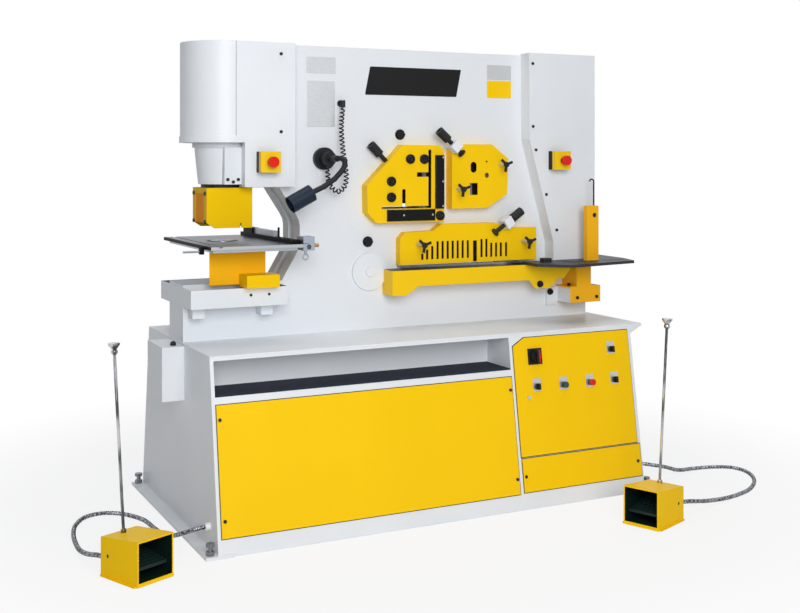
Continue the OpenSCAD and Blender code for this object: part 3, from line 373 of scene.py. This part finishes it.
# The inside of the tray is a darker blue-grey, which partly stands for painted shade in the hollow.
tray_paint = patched("tray_paint", WHITE, 0.38, 0.0, [(in_tray, srgb(104, 120, 144), 0.34, 0.1)])
nose_paint = patched("nose_paint", WHITE, 0.38, 0.0, [(lambda x, y, z: z < 1.2218, DARK, 0.45, 0.0)])
wing_steel = patched("wing_steel", srgb(206, 208, 212), 0.3, 0.3, [(lambda x, y, z: y < -0.1538, DARK, 0.42, 0.0)])
bolt_steel = patched("bolt_steel", srgb(124, 127, 132), 0.26, 1.0, [(lambda x, y, z: z > 0.2, DARK, 0.4, 0.5)])
screw_steel = patched("screw_steel", DARK, 0.42, 0.5, [(guard_screws, SILVER, 0.3, 0.9)], 0.35)
gauge_steel = patched("gauge_steel", srgb(16, 17, 20), 0.45, 0.0,
                      [(lambda x, y, z: (z > 1.0222) * within(y, -0.0412, 0.1838), srgb(186, 190, 198), 0.34, 0.5),
                       (lambda x, y, z: (x < -0.848) * (z < 1.0), srgb(150, 154, 160), 0.32, 0.8)], 0.06, 0.04)
end_box = patched("end_box", WHITE, 0.38, 0.0, [(lambda x, y, z: z > 0.6423, DARK, 0.4, 0.0)])
JAW_STEEL = (jaw_top, srgb(122, 136, 158), 0.34, 0.3)
front_plate = patched("front_plate", WHITE, 0.38, 0.0, [(shade_behind_guards, PAINTED_SHADE, 0.7, 0.0), JAW_STEEL])
rear_plate = patched("rear_plate", WHITE, 0.38, 0.0, [JAW_STEEL])
lamp_black = patched("lamp_black", srgb(24, 27, 32), 0.42, 0.0,
                     [(lambda x, y, z: (x < -0.43) * (z < 1.25), srgb(20, 34, 52), 0.4, 0.0)])
print("patched finishes made")

# %% [markdown]
# The pedal hoods are yellow outside and dark inside, and their carrying rods are plated, with dark and bright
# streaks along them as painted reflections. The masks work in the pedal's own directions, because each one
# stands turned on the floor. Where a pedal stands is given in millimetres, with its turn in degrees, and the
# cords use it again.

# %% Pedal finish
PEDAL_LEFT = (-1114, -615), 24
PEDAL_RIGHT = (574, -856), -68


def pedal_paint(name, at, turn_deg):
    cos, sin = math.cos(math.radians(turn_deg)), math.sin(math.radians(turn_deg))
    f = Finish(name)
    x, y, z = f.axes()
    from_x, from_y = x - at[0] / 1000, y - at[1] / 1000
    across = from_x * cos + from_y * sin
    along = from_y * cos - from_x * sin
    roof = 0.1375 - 0.105 * along
    dark = (abs(across) < 0.0662) * within(along, 0.0006, 0.1745) * (z > 0.0112) * (z < roof)
    plated = z > 0.1408 - 0.0973 * along
    grain = f.noise(260.0, 3.0)
    rim, soft = f.edge(0.002)
    tone = f.mix(dark, YELLOW, srgb(16, 34, 30))
    # Painted reflection: dark and bright streaks along the plated rods.
    reflection_streak = f.ramp(f.noise(30.0, 4.0, (2.5, 2.5, 0.35)), 0.38, 0.62)
    tone = f.mix(plated, tone, f.mix(reflection_streak, srgb(84, 86, 92), srgb(196, 198, 202)))
    f.set(base_color=tone, metallic=plated, roughness=0.4 - 0.24 * plated + 0.1 * (grain - 0.5))
    f.set(normal=f.bump(grain, 0.00006, soft), specular_ior_level=0.05)
    return f


pedal_left_paint = pedal_paint("pedal_left_paint", *PEDAL_LEFT)
pedal_right_paint = pedal_paint("pedal_right_paint", *PEDAL_RIGHT)
tread_rubber = plastic("tread_rubber", srgb(18, 38, 34), 0.6, 0.0002)
print("pedal finishes made")

# %% [markdown]
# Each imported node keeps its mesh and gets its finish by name. A table from finish to nodes is easier to read
# and to change than a line for every node. The small helpers put later pieces into the scene the same way.

# %% Finishes on the nodes
WEARS = {
    white_enamel: "base_cabinet deck_plate pivot_pin shear_cover punch_cover hold_down_blocks",
    yellow_enamel: "front_panels control_door angle_guard bar_guard plate_guard",
    bar_black: "angle_bars",
    grey_enamel: "power_pack shear_cylinder punch_cylinder",
    bright_steel: "shear_rod punch_ram",
    ground_steel: "die moving_blade fixed_blade",
    table_shaded_steel: "punch_table",
    dark_steel: "shear_beam notch_table",
    black_plastic: "hold_down_angle hold_down_bar hold_down_plate selector_top selector_left selector_right",
    pale_plastic: "electrics",
    mat_rubber: "shelf_mat",
    lead_rubber: "lamp_cord",
    conduit_steel: "conduit_left conduit_right",
    bolster_shade_paint: "bolster",
    guard_paint: "punch_guard",
    apron_paint: "shear_table",
    tray_paint: "tray",
    nose_paint: "ram_housing",
    front_plate: "frame_front",
    rear_plate: "frame_rear",
    end_box: "side_box",
    gauge_steel: "side_gauge",
    wing_steel: "wing_screws",
    bolt_steel: "hex_bolts",
    screw_steel: "socket_screws",
    lamp_black: "lamp",
    stop_box: "estop_boxes",
    mushroom: "estop_left estop_right",
    bezel: "control_plates",
    switch: "isolator",
    post: "notch_stand",
    stop_block: "stop_rod",
    start_cap: "start_button",
    stop_cap: "stop_button",
    pedal_left_paint: "pedal_left",
    pedal_right_paint: "pedal_right",
    tread_rubber: "treadle_left treadle_right",
}


def wear(piece, finish):
    piece.data.materials.clear()
    piece.data.materials.append(finish.material)


def put(name, data):
    """A new object in the scene."""
    piece = bpy.data.objects.new(name, data)
    bpy.context.scene.collection.objects.link(piece)
    return piece


def span(mesh, rings):
    """Faces between each ring of points and the next."""
    for a, b in zip(rings, rings[1:]):
        for k in range(len(a)):
            n = (k + 1) % len(a)
            mesh.faces.new((a[k], a[n], b[n], b[k]))


def from_mesh(name, mesh):
    """A new object from a finished mesh, with its faces turned outwards."""
    bmesh.ops.recalc_face_normals(mesh, faces=mesh.faces)
    data = bpy.data.meshes.new(name)
    mesh.to_mesh(data)
    mesh.free()
    return put(name, data)


def fit(piece, finish):
    """Give a piece of the standing machine its finish."""
    wear(piece, finish)
    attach(piece, "machine")


for finish, names in WEARS.items():
    for name in names.split():
        wear(nodes[name], finish)
dressed = sum(len(names.split()) for names in WEARS.values())
print("dressed", dressed, "of", len(nodes))

# %% [markdown]
# The cords come next. Their routes are the ones that the model was built with, repeated here in millimetres.
# A smooth curve through the points is worked out with the same cubic for every cord.

# %% Cord routes
def smooth(a, b, c, d, t):
    return 0.5 * (2 * b + (c - a) * t + (2 * a - 5 * b + 4 * c - d) * t * t
                  + (3 * b - a - 3 * c + d) * t * t * t)


def through(points, steps):
    """Many points on a smooth curve through a few."""
    p = [Vector(q) / 1000 for q in points]
    last = len(p) - 1
    line = []
    for i in range(last):
        for s in range(steps):
            line.append(smooth(p[max(i - 1, 0)], p[i], p[i + 1], p[min(i + 2, last)], s / steps))
    return line + [p[last]]


def evenly(line, gap):
    """The same curve with points a fixed gap apart."""
    result, left = [line[0]], gap
    for a, b in zip(line, line[1:]):
        step = (b - a).length
        while step >= left:
            a = a + (b - a) * (left / step)
            result.append(a)
            step, left = step - left, gap
        left -= step
    if (result[-1] - line[-1]).length > gap * 0.4:
        result.append(line[-1])
    else:
        result[-1] = line[-1]
    return result


def run_length(line):
    return sum((b - a).length for a, b in zip(line, line[1:]))


def frames_along(line, up):
    """A side and an over direction at each point, turned as little as possible along the way."""
    over, result = Vector(up), []
    for i in range(len(line)):
        ahead = (line[min(i + 1, len(line) - 1)] - line[max(i - 1, 0)]).normalized()
        side = ahead.cross(over).normalized()
        over = side.cross(ahead).normalized()
        result.append((side, over))
    return result


def placed(at, turn_deg, x, y, z):
    cos, sin = math.cos(math.radians(turn_deg)), math.sin(math.radians(turn_deg))
    return (at[0] + x * cos - y * sin, at[1] + x * sin + y * cos, z)


LEAD = [(-247, -84, 1515), (-250, -86, 1495), (-257, -94, 1455), (-260, -101, 1415), (-257, -108, 1350),
        (-250, -112, 1295), (-246, -116, 1251), (-254, -118, 1213), (-279, -118, 1192), (-305, -114, 1206),
        (-318, -108, 1236), (-318, -104, 1262), (-318, -104, 1280)]
LEFT_RUN = [(-893, -406, 82), (-915, -405, 80), (-945, -370, 62), (-968, -300, 34), (-982, -220, 16),
            (-988, -120, 9), (-1000, 0, 9), (-1050, 100, 9), (-1115, 142, 9), (-1182, 122, 9), (-1232, 40, 9),
            (-1258, -60, 9), (-1270, -160, 10), (-1276, -260, 18), (-1270, -350, 32),
            placed(*PEDAL_LEFT, -52, 223, 50), placed(*PEDAL_LEFT, -52, 193, 50)]
RIGHT_RUN = [(893, -406, 82), (930, -407, 82), (1045, -408, 56), (1142, -378, 24), (1246, -346, 10),
             (1333, -358, 9), (1404, -396, 9), (1422, -460, 9), (1396, -536, 9), (1340, -610, 9),
             (1258, -676, 9), (1180, -712, 9), (1080, -738, 10), (960, -766, 22), (850, -795, 42),
             placed(*PEDAL_RIGHT, 40, 223, 50), placed(*PEDAL_RIGHT, 40, 193, 50)]
print("routes", [round(run_length(through(r, 8)), 3) for r in (LEAD, LEFT_RUN, RIGHT_RUN)])

# %% [markdown]
# The lamp's lead is a curly cord: a thin wire wound on a mandrel and set by heat. A helix swept round the
# route gives the open turns that catch the light one by one, which a smooth tube never does. It is one curve
# with a round section.

# %% Curly lamp lead
WIRE_R = 0.0026
COIL_R = 0.0079
PITCH = 0.0155
TURN_POINTS = 14
PLAIN_TAIL = 0.012


def curly(line, up):
    line = evenly(line, PITCH / TURN_POINTS)
    total, result = run_length(line), []
    for i, (point, (side, over)) in enumerate(zip(line, frames_along(line, up))):
        gone = i * PITCH / TURN_POINTS
        grow = min(1.0, gone / PLAIN_TAIL, max(0.0, total - gone) / PLAIN_TAIL)
        turn = 2 * math.pi * gone / PITCH
        result.append(point + COIL_R * grow * (math.cos(turn) * side + math.sin(turn) * over))
    return result


def cord_curve(name, line, radius):
    data = bpy.data.curves.new(name, "CURVE")
    data.dimensions = "3D"
    data.bevel_depth = radius
    data.bevel_resolution = 2
    data.use_fill_caps = True
    spline = data.splines.new("POLY")
    spline.points.add(len(line) - 1)
    for spot, point in zip(spline.points, line):
        spot.co = (*point, 1.0)
    return put(name, data)


lead_line = curly(through(LEAD, 12), (0, 1, 0))
lead = cord_curve("curly_lead", lead_line, WIRE_R)
wear(lead, lead_rubber)
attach(lead, "machine")
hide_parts("lamp_cord")
run_length(lead_line)
print("curly lead", round(run_length(lead_line), 3), "m of wire")

# %% [markdown]
# The pedals hang on corrugated steel conduit. Its ridges are real geometry: rings whose radius swings between
# crest and valley as the tube follows its route, so that each ridge has its own highlight.

# %% Corrugated conduits
CONDUIT_R = 0.008
VALLEY = 0.0018
RIDGE_PITCH = 0.0072
RIDGE_RINGS = 6
CONDUIT_SIDES = 14


def ridged_tube(name, line):
    line = evenly(line, RIDGE_PITCH / RIDGE_RINGS)
    mesh = bmesh.new()
    rings = []
    for i, (point, (side, over)) in enumerate(zip(line, frames_along(line, (0, 0, 1)))):
        crest = 0.5 + 0.5 * math.cos(2 * math.pi * i / RIDGE_RINGS)
        radius = CONDUIT_R - VALLEY * (1 - crest)
        ring = []
        for k in range(CONDUIT_SIDES):
            turn = 2 * math.pi * k / CONDUIT_SIDES
            ring.append(mesh.verts.new(point + radius * (math.cos(turn) * side + math.sin(turn) * over)))
        rings.append(ring)
    span(mesh, rings)
    mesh.faces.new(reversed(rings[0]))
    mesh.faces.new(rings[-1])
    for face in mesh.faces:
        face.smooth = True
    return from_mesh(name, mesh), line


for name, route, node in (("ridged_conduit_left", LEFT_RUN, "conduit_left"),
                          ("ridged_conduit_right", RIGHT_RUN, "conduit_right")):
    conduit, line = ridged_tube(name, through(route, 12))
    wear(conduit, conduit_steel)
    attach(conduit, "machine")
    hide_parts(node)
    run_length(line)
    print(name, round(run_length(line), 3), "m")

# %% [markdown]
# Plates and labels on the front are left bare: a black plate at the top, an aluminium data plate and small
# pale ones. Each is a thin sheet with rounded corners, set on the front plate. The seam of the punch cover, a
# dark screen behind the plate guard's slots, which is painted shade, and a dark disc behind the post's hole are
# made the same way, and a thin round lid closes the punch barrel on top.

# %% Bare plates
FRONT_Y = -0.058
CORNER_STEPS = 5
LID_AT = (-0.691, 0.0325, 1.7488)
LID_R = 0.113
LID_CHAMFER = 0.001
LID_THICK = 0.0016


def rounded(width, height, radius):
    """Corner points of a rectangle with round corners, around its middle."""
    points = []
    for sx, sz, start in ((1, 1, 0), (-1, 1, 90), (-1, -1, 180), (1, -1, 270)):
        centre = (sx * (width / 2 - radius), sz * (height / 2 - radius))
        for i in range(CORNER_STEPS + 1):
            turn = math.radians(start + 90 * i / CORNER_STEPS)
            points.append((centre[0] + radius * math.cos(turn), centre[1] + radius * math.sin(turn)))
    return points


def thin_plate(name, low, high, thick, radius, finish, face=FRONT_Y, lean=0.0):
    mesh = bmesh.new()
    width, height = high[0] - low[0], high[1] - low[1]
    mid = ((low[0] + high[0]) / 2, (low[1] + high[1]) / 2)
    rims = []
    for inset, depth in ((0, 0), (0, thick * 0.6), (thick * 0.4, thick)):
        outline = rounded(width - 2 * inset, height - 2 * inset, radius - inset)
        rims.append([mesh.verts.new((mid[0] + x + lean * z, face - depth, mid[1] + z)) for x, z in outline])
    span(mesh, rims)
    mesh.faces.new(rims[-1])
    mesh.faces.new(reversed(rims[0]))
    fit(from_mesh(name, mesh), finish)


plate_metal = steel("plate_metal", srgb(206, 210, 214), 0.34, (1, 1, 30), 0.1, 0.55)
thin_plate("name_plate", (-0.130, 1.567), (0.278, 1.678), 0.0012, 0.004, black_enamel, lean=0.2)
thin_plate("mark_plate", (-0.388, 1.644), (-0.266, 1.707), 0.001, 0.004, plate_metal)
thin_plate("data_plate", (-0.385, 1.439), (-0.269, 1.615), 0.001, 0.004, plate_metal)
thin_plate("upper_label", (0.412, 1.642), (0.528, 1.703), 0.0006, 0.003, pale_plastic)
thin_plate("lower_label", (0.412, 1.567), (0.528, 1.638), 0.0006, 0.003, yellow_enamel)
thin_plate("cover_seam", (-0.6897, 1.4), (-0.6883, 1.747), 0.0003, 0.0006, black_plastic, -0.125)
# Painted shade: a dark sheet behind the plate guard's slots.
slot_shade = plastic("slot_shade", PAINTED_SHADE, 0.8)
thin_plate("slot_shade_screen", (0.072, 0.899), (0.520, 1.0), 0.0008, 0.004, slot_shade, -0.0585)
# A dark disc sits in the post's hole, so the hole shows dark.
thin_plate("post_hole_disc", (0.8265, 1.0705), (0.8495, 1.0935), 0.0008, 0.0114, black_plastic, -0.2112)

lid_mesh = bmesh.new()
bmesh.ops.create_cone(lid_mesh, cap_ends=True, segments=72, radius1=LID_R, radius2=LID_R - LID_CHAMFER,
                      depth=LID_THICK)
bmesh.ops.translate(lid_mesh, verts=lid_mesh.verts, vec=LID_AT)
fit(from_mesh("barrel_lid", lid_mesh), white_enamel)
print("bare plates set")

# %% [markdown]
# Dark rubber strips seal the yellow panels and the door against the sloped front, and their dark line also
# stands for the shade at the panel edges. Only a hair's breadth shows round each one, but that thin dark line
# is what tells the eye that the panels are separate sheets.

# %% Rubber seals
SEAL_WIDTH = 0.0028
SEAL_THICK = 0.0009
SEAL_UNDER = 0.0004


def on_slope(x, height, out):
    """A place on the sloped front, a little in front of it."""
    tilt = math.atan(TAN_SLOPE)
    return x, SLOPE_FOOT_Y + TAN_SLOPE * height - out * math.cos(tilt), height + out * math.sin(tilt)


def grown(outline, margin):
    """The outline pushed outwards from its middle box by a margin."""
    mid_x = (min(p[0] for p in outline) + max(p[0] for p in outline)) / 2
    mid_h = (min(p[1] for p in outline) + max(p[1] for p in outline)) / 2
    return [(x + math.copysign(margin, x - mid_x), h + math.copysign(margin, h - mid_h)) for x, h in outline]


def seal(name, outline):
    mesh = bmesh.new()
    loops = []
    for margin, out in ((-SEAL_UNDER, 0.0), (-SEAL_UNDER, SEAL_THICK), (SEAL_WIDTH, SEAL_THICK), (SEAL_WIDTH, 0.0)):
        loops.append([mesh.verts.new(on_slope(x, h, out)) for x, h in grown(outline, margin)])
    span(mesh, loops + loops[:1])
    fit(from_mesh(name, mesh), lead_rubber)


seal("seal_big", [(-0.86, 0.06), (0.3, 0.06), (0.3, 0.489), (-0.86, 0.489)])
seal("seal_low", [(0.319, 0.063), (0.868, 0.063), (0.868, 0.185), (0.319, 0.185)])
seal("seal_door", [(0.317, 0.192), (0.858, 0.192), (0.858, 0.629), (0.369, 0.629), (0.317, 0.599)])
print("seals set")

# %% [markdown]
# Plain studio light: a soft key from the front left, beside the camera, a weak lamp above and an even world,
# at a level where the paint shows about as it was mixed. To the camera and in reflections the room is white,
# and the floor fades into that white away from the machine, so that its shadow stays.

# %% Floor and light
FLOOR_HALF = 40.0


def seen(tree):
    """1 for rays that look at the room: from the camera, off a mirror or through glass."""
    ray = tree.nodes.new("ShaderNodeLightPath")
    total = ray.outputs["Is Camera Ray"]
    for kind in ("Is Glossy Ray", "Is Transmission Ray"):
        either = tree.nodes.new("ShaderNodeMath")
        either.operation = "MAXIMUM"
        tree.links.new(total, either.inputs[0])
        tree.links.new(ray.outputs[kind], either.inputs[1])
        total = either.outputs[0]
    return total


def studio_floor():
    mesh = bpy.data.meshes.new("floor")
    corners = [(x * FLOOR_HALF, y * FLOOR_HALF, 0) for x, y in ((-1, -1), (1, -1), (1, 1), (-1, 1))]
    mesh.from_pydata(corners, [], [(0, 1, 2, 3)])
    floor = put("floor", mesh)
    f = Finish("floor_white")
    f.set(base_color=srgb(222, 223, 225), roughness=0.95, specular_ior_level=0.0)
    far = f.add("ShaderNodeVectorMath", {"operation": "LENGTH"}, {0: f.place()}, out="Value")
    share = (0.82 + 0.18 * f.ramp(far, 1.1, 2.4)) * Wire(f, seen(f.tree))
    glow = f.add("ShaderNodeEmission", None, {"Color": (1.0, 1.0, 1.0), "Strength": 1.0})
    lit = Wire(f, f.shader.outputs[0])
    both = f.add("ShaderNodeMixShader", None, {0: share, 1: lit, 2: glow})
    f.feed(f.tree.nodes["Material Output"].inputs["Surface"], both)
    wear(floor, f)


def area_lamp(name, at, aim, size, watts):
    data = bpy.data.lights.new(name, "AREA")
    data.shape = "RECTANGLE"
    data.size, data.size_y = size
    data.energy = watts
    lamp = put(name, data)
    lamp.location = at
    lamp.rotation_euler = (Vector(aim) - Vector(at)).to_track_quat("-Z", "Y").to_euler()


def studio_world():
    world = bpy.data.worlds.new("studio")
    world.use_nodes = True
    bpy.context.scene.world = world
    tree = world.node_tree
    light = tree.nodes["Background"]
    light.inputs["Color"].default_value = (0.96, 0.98, 1, 1)
    light.inputs["Strength"].default_value = 0.2
    white = tree.nodes.new("ShaderNodeBackground")
    white.inputs["Color"].default_value = (1, 1, 1, 1)
    white.inputs["Strength"].default_value = 1.0
    pick = tree.nodes.new("ShaderNodeMixShader")
    tree.links.new(seen(tree), pick.inputs[0])
    tree.links.new(light.outputs[0], pick.inputs[1])
    tree.links.new(white.outputs[0], pick.inputs[2])
    tree.links.new(pick.outputs[0], tree.nodes["World Output"].inputs["Surface"])


studio_floor()
studio_world()
area_lamp("key", (-1.6, -5.1, 2.4), (0, 0, 1.0), (3.0, 2.6), 188)
area_lamp("top", (0, -0.4, 5.5), (0, 0, 0.6), (4.0, 3.0), 82)
bpy.context.scene.view_settings.view_transform = "Standard"
print("studio ready")

# %% Finish
print("pieces dressed and lit")
